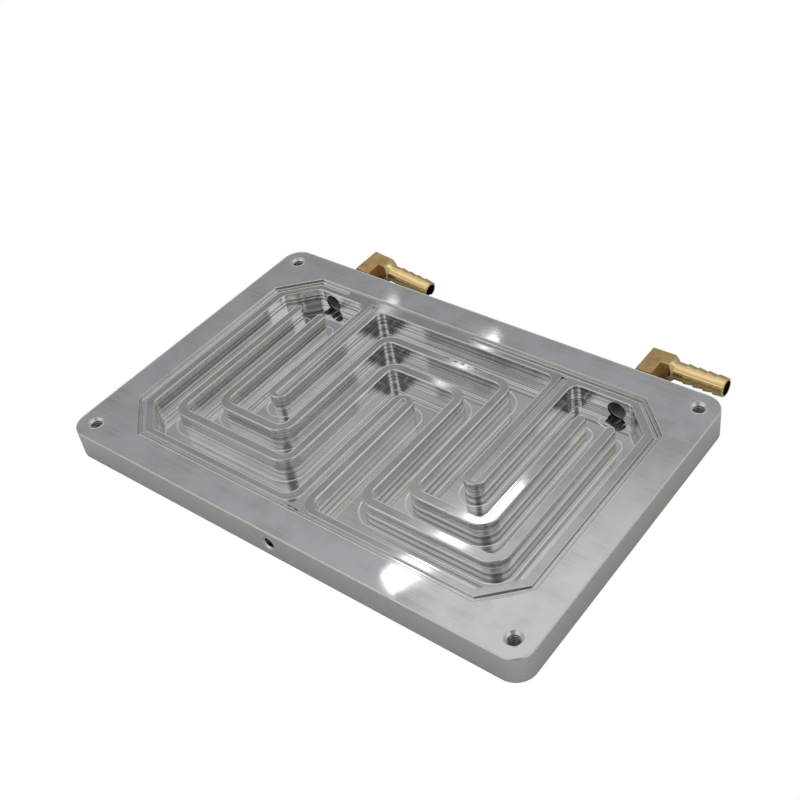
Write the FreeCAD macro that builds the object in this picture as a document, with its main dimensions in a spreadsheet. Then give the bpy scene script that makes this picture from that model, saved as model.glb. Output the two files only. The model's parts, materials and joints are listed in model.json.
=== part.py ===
# Liquid cooling cold plate: a milled aluminium base with a folded coolant channel, and two brass
# hose elbows screwed into its back edge. Millimetres, Z up.
# The origin is the middle of the underside. X runs along the plate and the ports face +Y.

import FreeCAD, Part
import os
import re
import Sketcher
from FreeCAD import Placement, Rotation, Vector

SIZES = {
    # plate blank
    "plate_length": 240,
    "plate_width": 155,
    "plate_thickness": 14,
    "plate_corner": 9,
    "edge_break": 0.4,
    # tapped M6 holes in the corners
    "corner_hole_inset": 9,
    "corner_hole_bore": 5,
    "corner_hole_sink": 7.2,
    # seat for a cover: a sunk octagon, with a relief groove inside its edge
    "seat_length": 213,
    "seat_width": 127,
    "seat_chamfer": 17,
    "seat_depth": 0.8,
    "seat_ledge": 1.5,
    "seat_overrun": 1.4,
    "groove_width": 2,
    "groove_depth": 0.8,
    "groove_bend": 7,
    "groove_start": 1,
    "groove_stop": -71,
    # coolant cavity
    "cavity_length": 198,
    "cavity_width": 114,
    "cavity_chamfer": 13,
    "cavity_depth": 9.4,
    "cutter_radius": 4,
    "root_radius": 5.5,
    "wall_break": 0.3,
    # fins that stand out from the rim, each with a slot along its top
    "side_fin_place": 53.2,
    "side_fin_width": 9.6,
    "side_fin_tip": -14.7,
    "middle_fin_width": 10.4,
    "middle_fin_tip": 15.8,
    "slot_width": 2.8,
    "slot_step": 1.4,
    "slot_step_depth": 0.35,
    "slot_inset": 2.6,
    "slot_back_end": 59,
    # two folded walls, one inside the other: legs by the plenums, turns beside the middle fin
    "wall_thickness": 4.3,
    "wall_tip": 42,
    "outer_leg": 86,
    "outer_turn": 20.2,
    "outer_front": -42.5,
    "outer_back": 29,
    "inner_leg": 71.9,
    "inner_turn": 34.2,
    "inner_front": -29.3,
    "inner_back": 43.5,
    # ports, drilled from the back edge through into the plenums, for a G1/8 thread
    "port_place": 79,
    "port_level": 7.2,
    "port_bore": 8.8,
    "port_break": 0.6,
    "port_overrun": 5,
    # blind hole for a probe, in the middle of the front edge
    "probe_bore": 5,
    "probe_sink": 6.6,
    "probe_depth": 14,
    # hose elbow: its forged body, drafted to both sides of the middle plane
    "body_height": 11,
    "body_flat": 7.2,
    "body_draft": 13,
    "body_edge": 0.35,
    "body_standoff": 2.2,
    "tail_setback": 14.5,
    "shoulder_place": 7.4,
    "shoulder_radius": 6.3,
    # its barbed tail
    "tail_length": 33,
    "tail_root": 8.2,
    "barb_start": 14.5,
    "barb_pitch": 4.65,
    "barb_count": 4,
    "barb_crest": 9.2,
    "barb_valley": 7.9,
    "tail_end": 8.6,
    "tail_end_break": 0.3,
    "tail_bore": 6.6,
    # its tapered thread end, 1 in 16
    "thread_length": 8,
    "thread_taper": 16,
    "thread_clearance": 0.02,
    "thread_bore": 5,
    # how far each elbow was screwed round when it came tight
    "left_roll": 7,
    "right_roll": 0,
}

PLATE_TOP = "plate_thickness"
RIM_TOP = "plate_thickness - seat_depth"
SIDES = {"left": -1, "right": 1}
DIAGONAL_INSET = "(2 - sqrt(2))"
TIP_FLAT = 0.02
NEAR = 0.01

doc = FreeCAD.newDocument("ColdPlate")
sheet = doc.addObject("Spreadsheet::Sheet", "Sizes")
for row, (name, amount) in enumerate(SIZES.items(), start=1):
    sheet.set(f"A{row}", name)
    sheet.set(f"B{row}", str(amount))
    sheet.setAlias(f"B{row}", name)
doc.recompute()


# ---- helpers: formulas in sheet names, sketches pinned to them, features that are checked


def on_sheet(formula):
    """The formula with the sheet's name before each of its sizes."""
    return re.sub(r"[a-z]\w*", lambda word: "Sizes." + word[0] if word[0] in SIZES else word[0], str(formula))


def value(formula):
    return float(sheet.evalExpression(on_sheet(formula)))


def bind(thing, prop, formula):
    thing.setExpression(prop, on_sheet(formula))


def new_body(label):
    body = doc.addObject("PartDesign::Body", label)
    body.Label = label
    return body


def new_sketch(body, name, role, level="0"):
    """A sketch parallel to one of the body's own origin planes, at a level along its normal."""
    sketch = body.newObject("Sketcher::SketchObject", name)
    plane = [feature for feature in body.Origin.OriginFeatures if feature.Role == role][0]
    sketch.AttachmentSupport = [(plane, "")]
    sketch.MapMode = "FlatFace"
    bind(sketch, "AttachmentOffset.Base.z", level)
    return sketch


def pin(sketch, geometry, vertex, place):
    """Ties one point of the sketch to a pair of formulas."""
    for kind, formula in zip(("DistanceX", "DistanceY"), place):
        index = sketch.addConstraint(Sketcher.Constraint(kind, -1, 1, geometry, vertex, value(formula)))
        bind(sketch, f"Constraints[{index}]", formula)


def outline(sketch, corners):
    """A closed outline of straight sides through corners given as pairs of formulas."""
    points = [Vector(value(x), value(y), 0) for x, y in corners]
    first = sketch.GeometryCount
    count = len(points)
    for i in range(count):
        sketch.addGeometry(Part.LineSegment(points[i], points[(i + 1) % count]))
    for i in range(count):
        sketch.addConstraint(Sketcher.Constraint("Coincident", first + i, 2, first + (i + 1) % count, 1))
        pin(sketch, first + i, 1, corners[i])


def circle(sketch, centre, diameter):
    middle = Vector(value(centre[0]), value(centre[1]), 0)
    index = sketch.addGeometry(Part.Circle(middle, Vector(0, 0, 1), value(diameter) / 2))
    pin(sketch, index, 3, centre)
    size = sketch.addConstraint(Sketcher.Constraint("Diameter", index, value(diameter)))
    bind(sketch, f"Constraints[{size}]", diameter)


def feature(body, kind, name, settings, formulas):
    """Adds a feature to the body and stops if it adds or cuts nothing."""
    doc.recompute()
    before = body.Shape.Volume if body.Tip else 0.0
    added = body.newObject("PartDesign::" + kind, name)
    for prop, setting in settings.items():
        setattr(added, prop, setting)
    for prop, formula in formulas.items():
        bind(added, prop, formula)
    doc.recompute()
    if added.Shape.isNull() or not added.Shape.isValid():
        raise ValueError(f"{body.Label}: {name} made no valid shape")
    grows = kind in ("Pad", "Revolution")
    change = body.Shape.Volume - before
    if kind not in ("Fillet", "Chamfer") and (change > 0) != grows:
        raise ValueError(f"{body.Label}: {name} changed the volume by {change:.1f} mm3")
    return added


def pocket(body, sketch, name, depth):
    return feature(body, "Pocket", name, {"Profile": sketch}, {"Length": depth})


def drill(body, name, sketch, bore, depth=None, sink=None, reverse=False):
    """Holes at a sketch's circles: right through, or to a depth with a drill point."""
    doc.recompute()
    settings = {
        "Profile": sketch,
        "ThreadType": "None",
        "DepthType": "Dimension" if depth else "ThroughAll",
        "HoleCutType": "Countersink" if sink else "None",
        "DrillPoint": "Angled",
        "DrillPointAngle": 118,
        "Reversed": reverse,
    }
    formulas = {"Diameter": bore}
    if depth:
        formulas["Depth"] = depth
    if sink:
        settings["HoleCutCountersinkAngle"] = 90
        formulas["HoleCutDiameter"] = sink
    return feature(body, "Hole", name, settings, formulas)


def upright_edges(body, places):
    """Names of the edges parallel to Z that stand at any of the places."""
    spots = [(value(x), value(y)) for x, y in places]
    names = []
    for number, edge in enumerate(body.Shape.Edges, start=1):
        start, end = edge.Vertexes[0].Point, edge.Vertexes[-1].Point
        upright = abs(start.x - end.x) < NEAR and abs(start.y - end.y) < NEAR
        if upright and any(abs(start.x - x) < NEAR and abs(start.y - y) < NEAR for x, y in spots):
            names.append(f"Edge{number}")
    return names


def level_edges(body, level, half_length, half_width):
    """Names of the edges that lie flat at a level, inside a rectangle about the Z axis."""
    height, reach, spread = value(level), value(half_length) + NEAR, value(half_width) + NEAR
    names = []
    for number, edge in enumerate(body.Shape.Edges, start=1):
        box = edge.BoundBox
        flat = abs(box.ZMin - height) < NEAR and abs(box.ZMax - height) < NEAR
        if flat and max(-box.XMin, box.XMax) < reach and max(-box.YMin, box.YMax) < spread:
            names.append(f"Edge{number}")
    return names


def round_uprights(body, name, places, radius):
    edges = upright_edges(body, places)
    if len(edges) < len(places):
        raise ValueError(f"{name}: {len(edges)} of {len(places)} edges found")
    return feature(body, "Fillet", name, {"Base": (body.Tip, edges)}, {"Radius": radius})


def octagon(half_length, half_width, chamfer):
    """Corners of a rectangle with its corners cut off, from the front left, anticlockwise."""
    near = f"({half_length}) - ({chamfer})"
    side = f"({half_width}) - ({chamfer})"
    return [
        (f"-({half_length})", f"-({side})"),
        (f"-({near})", f"-({half_width})"),
        (near, f"-({half_width})"),
        (half_length, f"-({side})"),
        (half_length, side),
        (near, half_width),
        (f"-({near})", half_width),
        (f"-({half_length})", side),
    ]


def rectangle(left, front, right, back):
    return [(left, front), (right, front), (right, back), (left, back)]


# ---- base plate


def folded_wall(name):
    """Both sides of a folded wall: the outline, the corners outside its bends, and inside them."""
    leg, turn = f"{name}_leg", f"{name}_turn"
    front, back = f"{name}_front", f"{name}_back"
    half = "wall_thickness / 2"
    bends = [
        # x, y, and which way is outside the bend
        (f"-{leg}", front, -1, -1),
        (f"-{turn}", front, 1, -1),
        (f"-{turn}", back, -1, 1),
        (turn, back, 1, 1),
        (turn, front, -1, -1),
        (leg, front, 1, -1),
    ]
    outside = [(f"{x} + {a} * {half}", f"{y} + {b} * {half}") for x, y, a, b in bends]
    inside = [(f"{x} - {a} * {half}", f"{y} - {b} * {half}") for x, y, a, b in bends]
    # the side away from the plenums follows the outside of a bend, then the inside of the next two
    lower = [outside[0], outside[1], inside[2], inside[3], outside[4], outside[5]]
    upper = [inside[5], inside[4], outside[3], outside[2], inside[1], inside[0]]
    left_tip = [(f"-{leg} + {half}", "wall_tip"), (f"-{leg} - {half}", "wall_tip")]
    right_tip = [(f"{leg} + {half}", "wall_tip"), (f"{leg} - {half}", "wall_tip")]
    corners = lower + right_tip + upper + left_tip
    return corners, outside, inside, left_tip + right_tip


def fin(place, width, root, tip):
    """Corners of a fin, from the side with the lower X: root, tip, tip, root."""
    left, right = f"{place} - ({width}) / 2", f"{place} + ({width}) / 2"
    return [(left, root), (left, tip), (right, tip), (right, root)]


def cut_cavity(plate):
    half_length, half_width = "cavity_length / 2", "cavity_width / 2"
    walls = [folded_wall("outer"), folded_wall("inner")]
    middle = fin("0", "middle_fin_width", f"-{half_width}", "middle_fin_tip")
    left = fin("-side_fin_place", "side_fin_width", half_width, "side_fin_tip")
    right = fin("side_fin_place", "side_fin_width", half_width, "side_fin_tip")
    rim = octagon(half_length, half_width, "cavity_chamfer")
    edge = rim[:2] + middle + rim[2:6] + right[::-1] + left[::-1] + rim[6:]
    sketch = new_sketch(plate, "CavitySketch", "XY_Plane", RIM_TOP)
    outline(sketch, edge)
    for corners, outside, inside, tips in walls:
        outline(sketch, corners)
    pocket(plate, sketch, "Cavity", "cavity_depth")

    # each inside corner has the cutter's radius, and a wall keeps its thickness round a bend
    roots = [left[0], left[3], right[0], right[3]]
    inner_corners = rim + roots + [place for wall in walls for place in wall[2]]
    outer_corners = [place for wall in walls for place in wall[1]]
    round_uprights(plate, "CutterCorners", inner_corners, "cutter_radius")
    round_uprights(plate, "MiddleFinRoots", [middle[0], middle[3]], "root_radius")
    round_uprights(plate, "WallBends", outer_corners, "cutter_radius + wall_thickness")
    wall_tips = [place for wall in walls for place in wall[3]]
    round_uprights(plate, "WallTips", wall_tips, f"wall_thickness / 2 - {TIP_FLAT}")
    side_tips = left[1:3] + right[1:3]
    round_uprights(plate, "SideFinTips", side_tips, f"side_fin_width / 2 - {TIP_FLAT}")
    round_uprights(plate, "MiddleFinTip", middle[1:3], f"middle_fin_width / 2 - {TIP_FLAT}")
    top_edges = level_edges(plate, RIM_TOP, half_length, half_width)
    feature(plate, "Chamfer", "WallBreak", {"Base": (plate.Tip, top_edges)}, {"Size": "wall_break"})


def seat_ring(inset):
    """The seat's octagon, moved in by an even distance all round."""
    chamfer = f"seat_chamfer - ({inset}) * {DIAGONAL_INSET}"
    return octagon(f"seat_length / 2 - ({inset})", f"seat_width / 2 - ({inset})", chamfer)


def cut_seat(plate):
    sketch = new_sketch(plate, "SeatSketch", "XY_Plane", PLATE_TOP)
    outline(sketch, seat_ring("0"))
    pocket(plate, sketch, "Seat", "seat_depth")
    # the cutter ran on past the front left corner along the ledge
    ring, ledge = seat_ring("0"), seat_ring("seat_ledge")
    sketch = new_sketch(plate, "OverrunSketch", "XY_Plane", PLATE_TOP)
    start = [(ledge[1][0], ledge[1][1]), (ring[1][0], ring[1][1])]
    end = [(f"{x} + seat_overrun", f"{y} - seat_overrun") for x, y in reversed(start)]
    outline(sketch, start + end)
    pocket(plate, sketch, "Overrun", "seat_depth")


def cut_groove(plate):
    """The relief groove goes round from the back, with a gap there, and up the middle fin."""
    far, near = seat_ring("seat_ledge"), seat_ring("seat_ledge + groove_width")
    half_slot = "slot_width / 2"
    slot_end = "middle_fin_tip - slot_inset"
    front = near[1][1]
    ends = [("groove_stop", near[5][1]), ("groove_stop", far[5][1])]
    starts = [("groove_start", far[5][1]), ("groove_start", near[5][1])]
    bends = [(f"-{half_slot}", front), (half_slot, front)]
    tip = [(f"-{half_slot}", slot_end), (half_slot, slot_end)]
    inner_path = near[6:] + near[:2] + [bends[0]] + tip + [bends[1]] + near[2:6]
    outer_path = far[6:] + far[:6]
    corners = [ends[1]] + outer_path + starts + inner_path[::-1] + [ends[0]]
    sketch = new_sketch(plate, "GrooveSketch", "XY_Plane", RIM_TOP)
    outline(sketch, corners)
    pocket(plate, sketch, "Groove", "groove_depth")
    round_uprights(plate, "GrooveEnds", ends + starts, f"groove_width / 2 - {TIP_FLAT}")
    round_uprights(plate, "GrooveBends", bends, "groove_bend")
    round_uprights(plate, "MiddleSlotEnd", tip, f"slot_width / 2 - {TIP_FLAT}")


def cut_side_slots(plate):
    """A slot along each side fin, with a shallow step on the side towards the plate's end."""
    front = "side_fin_tip + slot_inset"
    step_sketch = new_sketch(plate, "SlotStepSketch", "XY_Plane", RIM_TOP)
    slot_sketch = new_sketch(plate, "SlotSketch", "XY_Plane", RIM_TOP)
    near = "side_fin_place - (slot_width + slot_step) / 2"
    for side in SIDES.values():
        for sketch, width in ((step_sketch, "slot_width + slot_step"), (slot_sketch, "slot_width")):
            span = [f"{side} * ({near})", f"{side} * ({near} + {width})"]
            left, right = span[::side]
            outline(sketch, rectangle(left, front, right, "slot_back_end"))
    pocket(plate, step_sketch, "SlotStep", "slot_step_depth")
    pocket(plate, slot_sketch, "Slot", "groove_depth")


def make_base_plate():
    plate = new_body("base_plate")
    half_length, half_width = "plate_length / 2", "plate_width / 2"
    blank = rectangle(f"-{half_length}", f"-{half_width}", half_length, half_width)
    sketch = new_sketch(plate, "BlankSketch", "XY_Plane")
    outline(sketch, blank)
    feature(plate, "Pad", "Blank", {"Profile": sketch}, {"Length": "plate_thickness"})
    round_uprights(plate, "PlateCorners", blank, "plate_corner")
    edges = [name for level in ("0", PLATE_TOP) for name in level_edges(plate, level, half_length, half_width)]
    feature(plate, "Chamfer", "EdgeBreak", {"Base": (plate.Tip, edges)}, {"Size": "edge_break"})

    cut_seat(plate)
    cut_cavity(plate)
    cut_groove(plate)
    cut_side_slots(plate)

    sketch = new_sketch(plate, "CornerHoleSketch", "XY_Plane", PLATE_TOP)
    for side in SIDES.values():
        for end in SIDES.values():
            place = (f"{side} * ({half_length} - corner_hole_inset)", f"{end} * ({half_width} - corner_hole_inset)")
            circle(sketch, place, "corner_hole_bore")
    drill(plate, "CornerHoles", sketch, "corner_hole_bore", sink="corner_hole_sink")

    # the normal of the XZ plane is -Y: its levels run towards the front
    sketch = new_sketch(plate, "ProbeSketch", "XZ_Plane", half_width)
    circle(sketch, ("0", "port_level"), "probe_bore")
    drill(plate, "ProbeHole", sketch, "probe_bore", depth="probe_depth", sink="probe_sink")
    sketch = new_sketch(plate, "PortSketch", "XZ_Plane", f"-{half_width}")
    for side in SIDES.values():
        circle(sketch, (f"{side} * port_place", "port_level"), "port_bore")
    through = "(plate_width - cavity_width) / 2 + port_overrun"
    mouth = "port_bore + 2 * port_break"
    drill(plate, "Ports", sketch, "port_bore", depth=through, sink=mouth, reverse=True)
    return plate


# ---- hose elbows, each drawn with its thread along -Y and its tail along +X


def turn(body, name, kind, corners, axis_level, upright=False):
    """Revolves an outline about the Y axis, or about a line parallel to X at a level."""
    sketch = new_sketch(body, name + "Sketch", "XY_Plane")
    outline(sketch, corners)
    if upright:
        axis = (sketch, ["V_Axis"])
    else:
        line = Part.LineSegment(Vector(0, value(axis_level), 0), Vector(1, value(axis_level), 0))
        index = sketch.addGeometry(line, True)
        pin(sketch, index, 1, ("0", axis_level))
        pin(sketch, index, 2, ("1", axis_level))
        axis = (sketch, ["Axis0"])
    return feature(body, kind, name, {"Profile": sketch, "ReferenceAxis": axis, "Angle": 360}, {})


def barb_profile():
    """The tail from the shoulder to its end, as distances along it and from its axis."""
    steps = [("shoulder_place", "0"), ("shoulder_place", "tail_root / 2"), ("barb_start", "tail_root / 2")]
    count = int(value("barb_count"))
    for number in range(count):
        steps.append((f"barb_start + {number} * barb_pitch", "barb_crest / 2"))
        if number < count - 1:
            steps.append((f"barb_start + {number + 1} * barb_pitch", "barb_valley / 2"))
    steps.append(("tail_length - tail_end_break", "tail_end / 2"))
    steps.append(("tail_length", "tail_end / 2 - tail_end_break"))
    steps.append(("tail_length", "0"))
    return steps


def make_elbow(side):
    elbow = new_body(f"{side}_hose_elbow")
    draft_foot = "body_height / 2 * tan(body_draft * 1 deg)"
    half = f"(body_flat / 2 + {draft_foot})"
    run = f"shoulder_place + shoulder_radius + {draft_foot}"
    start = f"body_standoff - {draft_foot}"
    corners = [
        (f"-{half}", start),
        (half, start),
        (half, f"tail_setback - {half}"),
        (run, f"tail_setback - {half}"),
        (run, f"tail_setback + {half}"),
        (f"-{half}", f"tail_setback + {half}"),
    ]
    sketch = new_sketch(elbow, "BodySketch", "XY_Plane")
    outline(sketch, corners)
    lengths = {"Length": "body_height / 2", "Length2": "body_height / 2"}
    drafts = {"TaperAngle": "-body_draft", "TaperAngle2": "-body_draft"}
    sides = {"Profile": sketch, "SideType": "Two sides"}
    feature(elbow, "Pad", "Body", sides, {**lengths, **drafts})
    flats = [
        name
        for level in ("body_height / 2", "-body_height / 2")
        for name in level_edges(elbow, level, run, f"tail_setback + {half}")
    ]
    feature(elbow, "Chamfer", "BodyEdges", {"Base": (elbow.Tip, flats)}, {"Size": "body_edge"})

    # the tail end was turned down to a coned shoulder and the thread end faced, which trims the forging
    waste = f"tail_setback + {half} + body_height"
    cone_end = "shoulder_place + shoulder_radius - tail_root / 2"
    corners = [
        ("shoulder_place", "tail_setback + shoulder_radius"),
        (cone_end, "tail_setback + tail_root / 2"),
        (f"{run} + 1", "tail_setback + tail_root / 2"),
        (f"{run} + 1", waste),
        ("shoulder_place", waste),
    ]
    turn(elbow, "TailShoulder", "Groove", corners, "tail_setback")
    facing = rectangle("0", f"{start} - 1", "body_height", "body_standoff")
    turn(elbow, "ThreadFace", "Groove", facing, "0", upright=True)

    tail = [(along, f"tail_setback + {out}") for along, out in barb_profile()]
    turn(elbow, "Tail", "Revolution", tail, "tail_setback")
    gauge = "port_bore / 2 - thread_clearance"
    thick = f"{gauge} + (body_standoff + 1 + port_break) / (2 * thread_taper)"
    thin = f"{gauge} - (thread_length - port_break) / (2 * thread_taper)"
    shank = [("0", "-thread_length"), (thin, "-thread_length"), (thick, "body_standoff + 1"), ("0", "body_standoff + 1")]
    turn(elbow, "Thread", "Revolution", shank, "0", upright=True)

    # the two bores meet at the corner
    sketch = new_sketch(elbow, "TailBoreSketch", "YZ_Plane", "tail_length")
    circle(sketch, ("tail_setback", "0"), "tail_bore")
    drill(elbow, "TailBore", sketch, "tail_bore", depth="tail_length")
    sketch = new_sketch(elbow, "ThreadBoreSketch", "XZ_Plane", "thread_length")
    circle(sketch, ("0", "0"), "thread_bore")
    drill(elbow, "ThreadBore", sketch, "thread_bore", depth="thread_length + tail_setback")

    elbow.Placement = Placement(Vector(0, 0, 0), Rotation(Vector(0, 1, 0), value(f"{side}_roll")))
    bind(elbow, "Placement.Base.x", f"{SIDES[side]} * port_place")
    bind(elbow, "Placement.Base.y", "plate_width / 2")
    bind(elbow, "Placement.Base.z", "port_level")
    return elbow


# ---- build, check and write

bodies = [make_base_plate()] + [make_elbow(side) for side in SIDES]
doc.recompute()
for item in doc.Objects:
    if "Invalid" in item.State or "Error" in item.State:
        raise ValueError(f"{item.Label}: {item.State}")
os.makedirs("parts", exist_ok=True)
for body in bodies:
    shape = body.Shape
    if shape.isNull() or not shape.isValid() or len(shape.Solids) != 1:
        raise ValueError(f"{body.Label} is not one valid solid")
    shape.exportStep(f"parts/{body.Label}.step")
    box = shape.BoundBox
    print(f"{body.Label}: {shape.Volume:.1f} mm3, {box.XLength:.2f} x {box.YLength:.2f} x {box.ZLength:.2f} mm")
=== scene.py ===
import json
import math

import bpy
from mathutils import Euler, Matrix, Vector


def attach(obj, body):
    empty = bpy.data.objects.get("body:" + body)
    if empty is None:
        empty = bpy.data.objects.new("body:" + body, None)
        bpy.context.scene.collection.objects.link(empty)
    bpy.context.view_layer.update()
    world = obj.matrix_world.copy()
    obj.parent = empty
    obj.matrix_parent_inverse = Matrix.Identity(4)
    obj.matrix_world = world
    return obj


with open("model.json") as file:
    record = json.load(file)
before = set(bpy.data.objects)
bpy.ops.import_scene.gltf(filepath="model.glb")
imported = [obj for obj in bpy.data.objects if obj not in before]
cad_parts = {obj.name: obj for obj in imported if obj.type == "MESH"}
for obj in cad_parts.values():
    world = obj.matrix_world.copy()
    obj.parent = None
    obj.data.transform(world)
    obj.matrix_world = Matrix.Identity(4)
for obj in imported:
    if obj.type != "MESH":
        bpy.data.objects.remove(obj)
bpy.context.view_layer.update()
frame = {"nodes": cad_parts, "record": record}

record = frame["record"]
mounts = {mount["name"]: mount for mount in record["mounts"]}
openings = {opening["name"]: opening["box_m"] for opening in record["physics"]["openings"]}
print("frame loaded:", sorted(frame["nodes"]))


def mm(length):
    return length / 1000


def srgb(text):  # an sRGB hex colour, turned linear for a shader socket
    channels = [int(text[i:i + 2], 16) / 255 for i in (1, 3, 5)]
    linear = [c / 12.92 if c <= 0.04045 else ((c + 0.055) / 1.055) ** 2.4 for c in channels]
    return (*linear, 1.0)


def addNode(tree, kind, settings=(), links=()):  # a node with its settings, and its inputs set or linked
    node = tree.nodes.new("ShaderNode" + kind)
    for name, value in dict(settings).items():
        setattr(node, name, value)
    for name, value in dict(links).items():
        if isinstance(value, bpy.types.NodeSocket):
            tree.links.new(value, node.inputs[name])
        else:
            node.inputs[name].default_value = value
    return node


def newTree(name):
    material = bpy.data.materials.new(name)
    material.use_nodes = True
    material.node_tree.nodes.clear()
    return material, material.node_tree


def calc(tree, operation, *values):  # a Math node's result
    links = {i: value for i, value in enumerate(values)}
    return addNode(tree, "Math", {"operation": operation}, links).outputs[0]


def ramp(tree, value, low, high, start=0.0, end=1.0):  # clamped, from start at low to end at high
    links = {"Value": value, "From Min": low, "From Max": high, "To Min": start, "To Max": end}
    return addNode(tree, "MapRange", {}, links).outputs[0]


def mixValues(tree, factor, a, b):
    return addNode(tree, "Mix", {"data_type": "FLOAT"}, {0: factor, 2: a, 3: b}).outputs[0]


def mixColours(tree, factor, a, b, blend="MIX"):
    settings = {"data_type": "RGBA", "blend_type": blend}
    return addNode(tree, "Mix", settings, {0: factor, 6: a, 7: b}).outputs[2]


def noise(tree, place, spacing, detail=2.0, stretch=(1, 1, 1)):  # spacing is the size of a patch in mm
    scaled = addNode(tree, "Mapping", {}, {"Vector": place, "Scale": stretch}).outputs[0]
    links = {"Vector": scaled, "Scale": 1 / mm(spacing), "Detail": detail}
    return addNode(tree, "TexNoise", {}, links).outputs[0]


def bump(tree, height, strength, depth):  # depth in mm
    links = {"Strength": strength, "Distance": mm(depth), "Height": height}
    return addNode(tree, "Bump", {}, links).outputs[0]


def selectNone():
    if bpy.context.object and bpy.context.object.mode != "OBJECT":
        bpy.ops.object.mode_set(mode="OBJECT")
    bpy.ops.object.select_all(action="DESELECT")


# camera, floor and lamps

view = {
    "place": (273.8, -271.8, 356.6),
    "azimuth": 43.18,
    "elevation": 41.12,
    "roll": -9.16,
    "lens": 54.4,
    "shift": -0.02,
}
camera = bpy.data.objects.new("camera", bpy.data.cameras.new("camera"))
bpy.context.scene.collection.objects.link(camera)
camera.location = [mm(c) for c in view["place"]]
aim = Euler((math.radians(90 - view["elevation"]), 0, math.radians(view["azimuth"]))).to_matrix()
roll = Euler((0, 0, math.radians(view["roll"]))).to_matrix()
camera.rotation_euler = (aim @ roll).to_euler()
camera.data.lens = view["lens"]
camera.data.shift_x = view["shift"]
camera.data.clip_start = 0.01
bpy.context.scene.camera = camera
bpy.context.scene.view_settings.view_transform = "Standard"


studio = {
    "floorSide": 6.0,
    "floorColour": "#a2a2a1",
    "ambient": 1.0,
    # height as the sine of the angle above the horizon, and the room's colour there in reflections
    "room": [
        (0.0, "#a6a6a3"),
        (0.45, "#b6b6b4"),
        (0.6, "#b8b8b8"),
        (0.76, "#cfcfcf"),
        (0.86, "#d4d4d4"),
        (0.95, "#f4f4f2"),
    ],
    "darkSide": (-0.68, 0.73, 0.0),
    "darkTint": "#d6d8da",
    "darkReach": (0.2, 0.7),
    # right of this upright edge, and above this height, a bright wall of the room shows
    "brightEdge": (0.682, 0.731, 0.0),
    "brightReach": (0.0, 0.03),
    "brightHeight": (0.70, 0.76),
    "brightColour": "#d3d3d2",
    # low windows all round but on the dark side, and the dark shape of whoever takes the picture
    "windowHeight": (0.44, 0.47, 0.56, 0.59),
    "windowReach": (0.2, 0.1),
    "windowColour": "#fdfdfb",
    "watcher": (0.52, -0.56, 0.65),
    "watcherReach": (0.88, 0.98),
    "watcherColour": "#707070",
    # name, size in m, power in W, and the heading and height in degrees of its two ends
    "lampDistance": 6.0,
    "strips": [
        ("frontStrip", 0.12, 0.77, (47.6, 50.1), (36.0, 46.4)),
        ("backStrip", 0.05, 0.13, (41.6, 40.6), (37.1, 38.5)),
        ("leftStrip", 0.05, 0.022, (44.6, 36.6), (43.2, 35.9)),
    ],
}


def makeFloor():
    # white to the camera, and a grey bench in reflections
    selectNone()
    bpy.ops.mesh.primitive_plane_add(size=studio["floorSide"])
    floor = bpy.context.object
    floor.name = "floor"
    material, tree = newTree("paleFloor")
    bench = addNode(tree, "BsdfDiffuse", {}, {"Color": srgb(studio["floorColour"])})
    white = addNode(tree, "Emission", {}, {"Color": srgb("#ffffff"), "Strength": 1.0})
    seen = addNode(tree, "LightPath").outputs["Is Camera Ray"]
    shown = addNode(tree, "MixShader", {}, {0: seen, 1: bench.outputs[0], 2: white.outputs[0]})
    addNode(tree, "OutputMaterial", {}, {"Surface": shown.outputs[0]})
    floor.data.materials.append(material)


def facing(tree, direction, towards, low, high):  # 0 to 1 as a direction turns towards a side
    dot = addNode(tree, "VectorMath", {"operation": "DOT_PRODUCT"}, {0: direction, 1: towards})
    return ramp(tree, dot.outputs["Value"], low, high)


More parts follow.
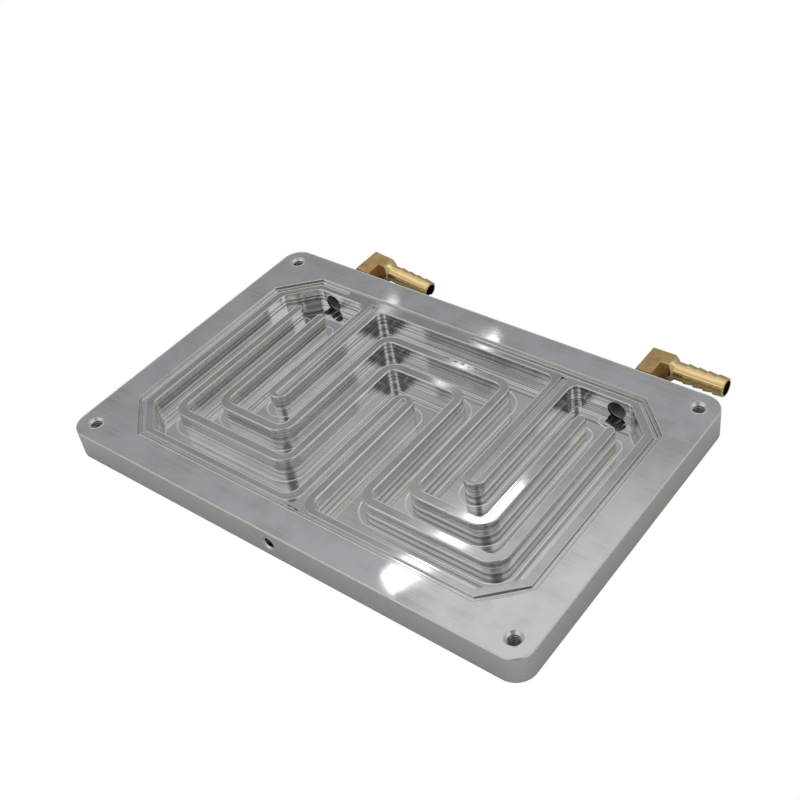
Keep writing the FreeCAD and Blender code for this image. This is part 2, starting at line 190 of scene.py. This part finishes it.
def makeWorld():
    world = bpy.data.worlds.new("studio")
    bpy.context.scene.world = world
    world.use_nodes = True
    tree = world.node_tree
    tree.nodes.clear()
    direction = addNode(tree, "TexCoord").outputs["Generated"]
    height = addNode(tree, "SeparateXYZ", {}, {0: direction}).outputs["Z"]
    room = addNode(tree, "ValToRGB", {}, {"Fac": height})
    stops = room.color_ramp.elements
    stops.remove(stops[1])
    for i, (position, colour) in enumerate(studio["room"]):
        stop = stops.new(position) if i else stops[0]
        stop.position, stop.color = position, srgb(colour)
    dark = facing(tree, direction, studio["darkSide"], *studio["darkReach"])
    colour = mixColours(tree, dark, srgb("#ffffff"), srgb(studio["darkTint"]))
    colour = mixColours(tree, 1.0, room.outputs[0], colour, "MULTIPLY")
    bright = calc(tree, "MULTIPLY", facing(tree, direction, studio["brightEdge"], *studio["brightReach"]),
                  ramp(tree, height, *studio["brightHeight"]))
    colour = mixColours(tree, bright, colour, srgb(studio["brightColour"]))
    low, lowFull, highFull, high = studio["windowHeight"]
    window = calc(tree, "MULTIPLY", ramp(tree, height, low, lowFull), ramp(tree, height, high, highFull))
    away = facing(tree, direction, studio["darkSide"], *studio["windowReach"])
    window = calc(tree, "MULTIPLY", window, away)
    colour = mixColours(tree, window, colour, srgb(studio["windowColour"]))
    watcher = facing(tree, direction, studio["watcher"], *studio["watcherReach"])
    colour = mixColours(tree, watcher, colour, srgb(studio["watcherColour"]))
    path = addNode(tree, "LightPath")
    glossy = calc(tree, "MAXIMUM", path.outputs["Is Glossy Ray"], path.outputs["Is Transmission Ray"])
    soft = addNode(tree, "Background", {}, {"Color": srgb("#ffffff"), "Strength": studio["ambient"]})
    shown = addNode(tree, "Background", {}, {"Color": colour, "Strength": 1.0})
    white = addNode(tree, "Background", {}, {"Color": srgb("#ffffff"), "Strength": 1.0})
    lit = addNode(tree, "MixShader", {}, {0: glossy, 1: soft.outputs[0], 2: shown.outputs[0]})
    camera = path.outputs["Is Camera Ray"]
    seen = addNode(tree, "MixShader", {}, {0: camera, 1: lit.outputs[0], 2: white.outputs[0]})
    addNode(tree, "OutputWorld", {}, {"Surface": seen.outputs[0]})


def heading(turn, rise):  # a place far off, in degrees left of +Y and above the bench
    turn, rise = math.radians(turn), math.radians(rise)
    level = math.cos(rise)
    direction = Vector((-math.sin(turn) * level, math.cos(turn) * level, math.sin(rise)))
    return direction * studio["lampDistance"]


def makeLamps():
    # narrow lights along the ceiling, which show as white bars on the machined faces
    for name, width, power, first, last in studio["strips"]:
        ends = heading(*first), heading(*last)
        middle, along = (ends[0] + ends[1]) / 2, ends[1] - ends[0]
        lamp = bpy.data.lights.new(name, "AREA")
        lamp.shape = "RECTANGLE"
        lamp.size, lamp.size_y = along.length, width
        lamp.energy = power
        holder = bpy.data.objects.new(name, lamp)
        bpy.context.scene.collection.objects.link(holder)
        back = middle.normalized()
        side = (along - back * along.dot(back)).normalized()
        holder.matrix_world = Matrix((side, back.cross(side), back)).transposed().to_4x4()
        holder.location = middle


makeFloor()
makeWorld()
makeLamps()
print("studio ready")


# materials

aluminium = {
    "colour": "#ebecec",
    "warmth": "#eeedea",
    "dull": "#d6d6d4",
    "darkLine": "#a3a19c",
    "landRoughness": 0.045,
    "topRoughness": 0.06,
    "floorRoughness": 0.05,
    "wallRoughness": 0.12,
    "sideRoughness": 0.28,
    "anisotropy": 0.5,
    "floorLevel": 3.8,
    "seatLevel": 13.2,
    "topLevel": 14.0,
    "wallsWithin": (108.0, 66.0),
    "layerHeight": 0.8,
    "millPitch": 0.35,
    # how sharp the lines of each are, and how deep in mm
    "layerBump": (0.6, 0.22),
    "millBump": (0.06, 0.02),
    # the ports, lit at the mouth and dark beyond: radius, and where the light ends
    "portRadius": 4.8,
    "portMouth": 57.1,
    "portDark": 63.0,
    "portDeep": "#3a3a38",
    # finger marks and faint streaks, patches of duller gloss, and torn specks, sizes in mm
    "smudge": "#eeeeec",
    "smudgeSize": 16,
    "streakWidth": 1.2,
    "glossPatch": 14,
    "tornSize": 1.3,
    # where the cutter chattered: the middle, and half the length and width
    "chatter": [((8.5, 45.1), (11.0, 1.3)), ((-1.5, -61.5), (5.0, 1.5))],
    "chatterColour": "#6e6e6a",
}


def portMiddle(side):
    low, high = [Vector(corner) for corner in openings[f"{side}_port_passage"]]
    return (low + high) / 2


def sumOfSquares(tree, first, second):
    return calc(tree, "ADD", calc(tree, "POWER", first, 2.0), calc(tree, "POWER", second, 2.0))


def near(tree, value, level, reach, fade=0.2):  # 1 within reach of a level in mm, fading to 0
    gap = calc(tree, "ABSOLUTE", calc(tree, "SUBTRACT", value, mm(level)))
    return ramp(tree, gap, mm(reach + fade), mm(reach))


def milledAluminium():
    # bright aluminium alloy, face milled on top and end milled in the channel: the floors are almost
    # a mirror, and each layer of cutting leaves a line along the walls
    material, tree = newTree("milledAluminium")
    place = addNode(tree, "TexCoord").outputs["Object"]
    axes = addNode(tree, "SeparateXYZ", {}, {0: place})
    normal = addNode(tree, "SeparateXYZ", {}, {0: addNode(tree, "NewGeometry").outputs["True Normal"]})
    height = axes.outputs["Z"]
    flat = ramp(tree, calc(tree, "ABSOLUTE", normal.outputs["Z"]), 0.8, 0.9)
    wall = ramp(tree, calc(tree, "ABSOLUTE", normal.outputs["Z"]), 0.3, 0.1)
    low = near(tree, height, aluminium["floorLevel"], 0.1)
    seat = calc(tree, "MULTIPLY", near(tree, height, aluminium["seatLevel"], 0.1), flat)
    top = near(tree, height, aluminium["topLevel"], 0.1)
    across = calc(tree, "ABSOLUTE", axes.outputs["Y"])
    along = calc(tree, "ABSOLUTE", axes.outputs["X"])
    outside = [ramp(tree, value, mm(edge), mm(edge + 0.2))
               for value, edge in zip((along, across), aluminium["wallsWithin"])]
    outside = calc(tree, "MAXIMUM", *outside)

    flatRoughness = mixValues(tree, low, aluminium["topRoughness"], aluminium["floorRoughness"])
    flatRoughness = mixValues(tree, top, flatRoughness, aluminium["landRoughness"])
    wallRoughness = mixValues(tree, outside, aluminium["wallRoughness"], aluminium["sideRoughness"])
    roughness = mixValues(tree, flat, wallRoughness, flatRoughness)
    patchy = noise(tree, place, aluminium["glossPatch"])
    roughness = calc(tree, "ADD", roughness, ramp(tree, patchy, 0.35, 0.7, -0.01, 0.02))

    # lines of the layers, which run level round the walls, and of the face mill along the flats
    layers = noise(tree, place, aluminium["layerHeight"], 2.0, (0.003, 0.003, 1.0))
    lines = bump(tree, layers, *aluminium["layerBump"])
    grain = noise(tree, place, aluminium["millPitch"], 2.0, (0.06, 1.0, 1.0))
    mill = bump(tree, grain, *aluminium["millBump"])
    inside = calc(tree, "MULTIPLY", calc(tree, "SUBTRACT", 1.0, outside),
                  ramp(tree, height, mm(aluminium["seatLevel"] + 0.1), mm(aluminium["seatLevel"])))
    level = calc(tree, "SUBTRACT", 1.0, calc(tree, "MULTIPLY", wall, inside))
    surface = addNode(tree, "Mix", {"data_type": "VECTOR"}, {0: level, 4: lines, 5: mill}).outputs[1]

    tint = mixColours(tree, flat, srgb(aluminium["warmth"]), srgb(aluminium["colour"]))
    tint = mixColours(tree, seat, tint, srgb(aluminium["dull"]))
    dark = calc(tree, "MULTIPLY", ramp(tree, layers, 0.52, 0.40), calc(tree, "SUBTRACT", 1.0, level))
    tint = mixColours(tree, dark, tint, srgb(aluminium["darkLine"]))
    # finger marks and long faint streaks on the land
    smudges = ramp(tree, noise(tree, place, aluminium["smudgeSize"], 5.0), 0.42, 0.62)
    streaks = noise(tree, place, aluminium["streakWidth"], 3.0, (0.02, 1.0, 1.0))
    streaks = ramp(tree, streaks, 0.35, 0.6, 0.4, 1.0)
    soiled = calc(tree, "MULTIPLY", calc(tree, "MULTIPLY", smudges, streaks), flat)
    soil = mixColours(tree, 1.0, tint, srgb(aluminium["smudge"]), "MULTIPLY")
    tint = mixColours(tree, soiled, tint, soil)
    # little light reaches into the ports
    middle = portMiddle("right")
    offset = calc(tree, "SUBTRACT", along, middle.x)
    rise = calc(tree, "SUBTRACT", height, middle.z)
    radius = calc(tree, "SQRT", sumOfSquares(tree, offset, rise))
    edge = ramp(tree, radius, mm(aluminium["portRadius"]), mm(aluminium["portRadius"] - 0.3))
    depth = ramp(tree, axes.outputs["Y"], mm(aluminium["portMouth"]), mm(aluminium["portDark"]))
    tint = mixColours(tree, calc(tree, "MULTIPLY", edge, depth), tint, srgb(aluminium["portDeep"]))
    # torn marks where the cutter chattered
    torn = noise(tree, place, aluminium["tornSize"], 3.0, (0.5, 1.0, 1.0))
    for centre, size in aluminium["chatter"]:
        gaps = []
        for i in (0, 1):
            gap = calc(tree, "SUBTRACT", axes.outputs[i], mm(centre[i]))
            gaps.append(calc(tree, "DIVIDE", gap, mm(size[i])))
        far = sumOfSquares(tree, *gaps)
        mark = calc(tree, "MULTIPLY", ramp(tree, far, 1.0, 0.6), ramp(tree, torn, 0.49, 0.53))
        tint = mixColours(tree, mark, tint, srgb(aluminium["chatterColour"]))
    # the lines spread the light across themselves
    directions = {0: flat, 4: (0, 0, 1), 5: (0, 1, 0)}
    spread = addNode(tree, "Mix", {"data_type": "VECTOR"}, directions).outputs[1]
    links = {"Base Color": tint, "Metallic": 1.0, "Roughness": roughness, "Normal": surface}
    links |= {"Anisotropic": aluminium["anisotropy"], "Tangent": spread}
    shader = addNode(tree, "BsdfPrincipled", {}, links)
    addNode(tree, "OutputMaterial", {}, {"Surface": shader.outputs[0]})
    return material


plainMetals = {
    "burnishedColour": "#fcfcfb",
    "burnishedRoughness": 0.18,
    "boreColour": "#b9b8b4",
    "boreRoughness": 0.3,
}


def plainMetal(name, colour, roughness):
    material, tree = newTree(name)
    links = {"Base Color": srgb(colour), "Metallic": 1.0, "Roughness": roughness}
    shader = addNode(tree, "BsdfPrincipled", {}, links)
    addNode(tree, "OutputMaterial", {}, {"Surface": shader.outputs[0]})
    return material


brass = {
    "forged": "#dcbf8c",
    "forgedDark": "#c09c62",
    "turned": "#f8dca0",
    "forgedRoughness": 0.42,
    "turnedRoughness": 0.09,
    "patchSize": 5,
    "grainSize": 0.5,
    "ringPitch": 0.5,
    "forgedBump": (0.3, 0.08),
    "turnedBump": (0.08, 0.04),
    "bodyEnd": 7.4,
}


def brassElbow(name, portX):
    # forged brass, satin and a little brown on the body, and turned bright on the barbed tail
    material, tree = newTree(name)
    place = addNode(tree, "TexCoord").outputs["Object"]
    along = addNode(tree, "SeparateXYZ", {}, {0: place}).outputs["X"]
    tail = ramp(tree, along, portX + mm(brass["bodyEnd"]), portX + mm(brass["bodyEnd"] + 0.2))
    patches = noise(tree, place, brass["patchSize"], 4.0)
    patches = ramp(tree, patches, 0.35, 0.7)
    body = mixColours(tree, patches, srgb(brass["forged"]), srgb(brass["forgedDark"]))
    colour = mixColours(tree, tail, body, srgb(brass["turned"]))
    roughness = mixValues(tree, tail, brass["forgedRoughness"], brass["turnedRoughness"])
    grains = noise(tree, place, brass["grainSize"], 3.0)
    rings = noise(tree, place, brass["ringPitch"], 2.0, (1.0, 0.01, 0.01))
    grainy = bump(tree, grains, *brass["forgedBump"])
    turned = bump(tree, rings, *brass["turnedBump"])
    surface = addNode(tree, "Mix", {"data_type": "VECTOR"}, {0: tail, 4: grainy, 5: turned}).outputs[1]
    links = {"Base Color": colour, "Metallic": 1.0, "Roughness": roughness, "Normal": surface}
    shader = addNode(tree, "BsdfPrincipled", {}, links)
    addNode(tree, "OutputMaterial", {}, {"Surface": shader.outputs[0]})
    return material


def dress(node, material):
    mesh = frame["nodes"][node].data
    if not mesh.materials:
        mesh.materials.append(material)
    for i in range(len(mesh.materials)):
        mesh.materials[i] = material


plateMetal = milledAluminium()
# the same alloy, dull and shaded inside a tapped hole, and bright where a cutter's edge burnished it
boreMetal = plainMetal("threadedBore", plainMetals["boreColour"], plainMetals["boreRoughness"])
ridgeMetal = plainMetal("burnishedAluminium", plainMetals["burnishedColour"],
                        plainMetals["burnishedRoughness"])
brassMetal = {}
dress("base_plate", plateMetal)
for side in ("left", "right"):
    brassMetal[side] = brassElbow(f"{side}ElbowBrass", portMiddle(side).x)
    dress(f"{side}_hose_elbow", brassMetal[side])
print("materials ready")

# screw threads, which the CAD solids leave out

threads = {
    "coarsePitch": 1.0,      # M6 in the corner holes
    "coarseRidge": 0.32,
    "coarseStart": 1.0,
    "coarseLength": 11.0,
    "pipePitch": 0.907,      # 28 to the inch, in the ports and on the elbows
    "pipeRidge": 0.38,
    "pipeSunk": 0.3,
    "portLength": 11.0,
    "elbowLength": 2.4,
    "portBore": 8.8,
    "plateBack": 77.5,
    "sunk": 0.06,
    "stepsPerTurn": 28,
}


def threadRidge(name, centre, along, radius, ridge, pitch, length, material):
    # a three-sided ridge wound about an axis, from a centre: ridge is below 0 for a thread that faces in
    selectNone()
    foot, crest = radius - math.copysign(mm(threads["sunk"]), ridge), radius + mm(ridge)
    bpy.ops.mesh.primitive_circle_add(vertices=3, radius=mm(pitch) / 2)
    wound = bpy.context.object
    wound.name = name
    corners = [(crest, 0.0), (foot, -0.45 * mm(pitch)), (foot, 0.45 * mm(pitch))]
    for vertex, (out, level) in zip(wound.data.vertices, corners):
        vertex.co = (out, 0.0, level)
    screw = wound.modifiers.new("Winding", "SCREW")
    screw.axis = "Z"
    screw.iterations = round(length / pitch)
    screw.screw_offset = mm(pitch)
    screw.steps = screw.render_steps = threads["stepsPerTurn"]
    screw.use_merge_vertices = False
    bpy.ops.object.modifier_apply(modifier="Winding")
    bpy.ops.object.mode_set(mode="EDIT")
    bpy.ops.mesh.select_all(action="DESELECT")
    bpy.ops.mesh.select_mode(type="EDGE")
    bpy.ops.mesh.select_non_manifold()
    bpy.ops.mesh.fill()
    bpy.ops.mesh.select_all(action="SELECT")
    bpy.ops.mesh.normals_make_consistent(inside=False)
    bpy.ops.object.mode_set(mode="OBJECT")
    wound.rotation_euler = Vector(along).to_track_quat("Z", "Y").to_euler()
    wound.location = centre
    bpy.ops.object.transform_apply(location=True, rotation=True, scale=True)
    wound.data.materials.append(material)
    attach(wound, "root")


def cornerThreads():
    pattern = mounts["corner_screws"]
    sides = pattern["dims"]["spacing_x_mm"] / 2, pattern["dims"]["spacing_y_mm"] / 2
    bore = mm(pattern["dims"]["hole_r_mm"])
    for x in (-1, 1):
        for y in (-1, 1):
            name = f"{'left' if x < 0 else 'right'}{'Front' if y < 0 else 'Back'}CornerThread"
            foot = Vector((x * mm(sides[0]), y * mm(sides[1]), mm(threads["coarseStart"])))
            threadRidge(name, foot, (0, 0, 1), bore, -threads["coarseRidge"], threads["coarsePitch"],
                        threads["coarseLength"], boreMetal)


def pipeThreads():
    # the port's thread shows from the plenum, and a few turns of the elbow's show behind the plate
    bore = mm(threads["portBore"] / 2)
    back = mm(threads["plateBack"] - threads["pipeSunk"])
    for side in ("left", "right"):
        middle = portMiddle(side)
        mouth = openings[f"{side}_port_passage"][0][1]
        threadRidge(f"{side}PortThread", (middle.x, mouth, middle.z), (0, 1, 0), bore,
                    -threads["pipeRidge"], threads["pipePitch"], threads["portLength"],
                    boreMetal)
        threadRidge(f"{side}ElbowThread", (middle.x, back, middle.z), (0, 1, 0), bore,
                    threads["pipeRidge"], threads["pipePitch"], threads["elbowLength"],
                    brassMetal[side])


def copyPlateFaces(name, levels):
    # a loose copy of the plate's level faces at these heights, in edit mode
    selectNone()
    plate = frame["nodes"]["base_plate"]
    copied = plate.copy()
    copied.data = plate.data.copy()
    copied.name = name
    copied.parent = None
    bpy.context.scene.collection.objects.link(copied)
    copied.select_set(True)
    bpy.context.view_layer.objects.active = copied
    bpy.ops.object.mode_set(mode="EDIT")
    bpy.ops.mesh.select_all(action="SELECT")
    bpy.ops.mesh.remove_doubles(threshold=mm(0.001))
    bpy.ops.mesh.select_mode(type="FACE")
    bpy.ops.object.mode_set(mode="OBJECT")
    for face in copied.data.polygons:
        gap = min(abs(face.center.z - mm(level)) for level in levels)
        face.select = gap > mm(0.05) or face.normal.z < 0.9
    bpy.ops.object.mode_set(mode="EDIT")
    bpy.ops.mesh.delete(type="FACE")
    return copied


def finishRidge(ridge):
    bpy.ops.object.shade_smooth()
    ridge.data.materials.clear()
    ridge.data.materials.append(ridgeMetal)
    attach(ridge, "root")


floorPass = {
    "inset": 2.2,
    "slope": 0.4,
    "rise": 0.12,
    "lift": 0.01,
}


def makeFloorPass():
    # where the last passes along the walls met those down the lanes, a fine ridge runs round the floor
    ridge = copyPlateFaces("floorPassRidge", [aluminium["floorLevel"]])
    bpy.ops.mesh.select_all(action="SELECT")
    bpy.ops.mesh.inset(thickness=mm(floorPass["inset"]), depth=0, use_even_offset=True)
    bpy.ops.mesh.select_all(action="INVERT")
    bpy.ops.mesh.delete(type="FACE")
    bpy.ops.mesh.select_all(action="SELECT")
    for rise in (floorPass["rise"], -floorPass["rise"]):
        bpy.ops.mesh.inset(thickness=mm(floorPass["slope"]), depth=mm(rise), use_even_offset=True)
    bpy.ops.mesh.delete(type="FACE")
    bpy.ops.mesh.select_all(action="SELECT")
    bpy.ops.transform.translate(value=(0, 0, mm(floorPass["lift"])))
    bpy.ops.object.mode_set(mode="OBJECT")
    finishRidge(ridge)


brokenEdges = {
    "bead": 0.2,
    # the foot of the seat's wall is an inside corner, and has none
    "footLength": 106.3,
    "footWidth": 63.3,
    "footCorner": 152.6,
}


def insideCorner(vertex):
    x, y = abs(vertex.co.x), abs(vertex.co.y)
    beyond = x > mm(brokenEdges["footLength"]) or y > mm(brokenEdges["footWidth"])
    beyond = beyond or x + y > mm(brokenEdges["footCorner"])
    return beyond and vertex.co.z < mm(aluminium["seatLevel"] + 0.1)


def makeBrokenEdges():
    # every edge of the upper faces is broken by hand, and shows as a fine bright bead
    beads = copyPlateFaces("brokenEdges", [aluminium["seatLevel"], aluminium["topLevel"]])
    bpy.ops.mesh.select_all(action="SELECT")
    bpy.ops.mesh.region_to_loop()
    bpy.ops.mesh.select_all(action="INVERT")
    bpy.ops.mesh.delete(type="EDGE_FACE")
    bpy.ops.mesh.select_mode(type="VERT")
    bpy.ops.mesh.select_all(action="DESELECT")
    bpy.ops.object.mode_set(mode="OBJECT")
    for vertex in beads.data.vertices:
        vertex.select = insideCorner(vertex)
    bpy.ops.object.mode_set(mode="EDIT")
    bpy.ops.mesh.delete(type="VERT")
    bpy.ops.object.mode_set(mode="OBJECT")
    bpy.ops.object.convert(target="CURVE")
    curve = bpy.context.object
    curve.data.bevel_depth = mm(brokenEdges["bead"])
    curve.data.bevel_resolution = 1
    bpy.ops.object.convert(target="MESH")
    beads = bpy.context.object
    beads.name = "brokenEdges"
    finishRidge(beads)


cornerThreads()
pipeThreads()
makeFloorPass()
makeBrokenEdges()
print("threads, floor ridge and edges made")
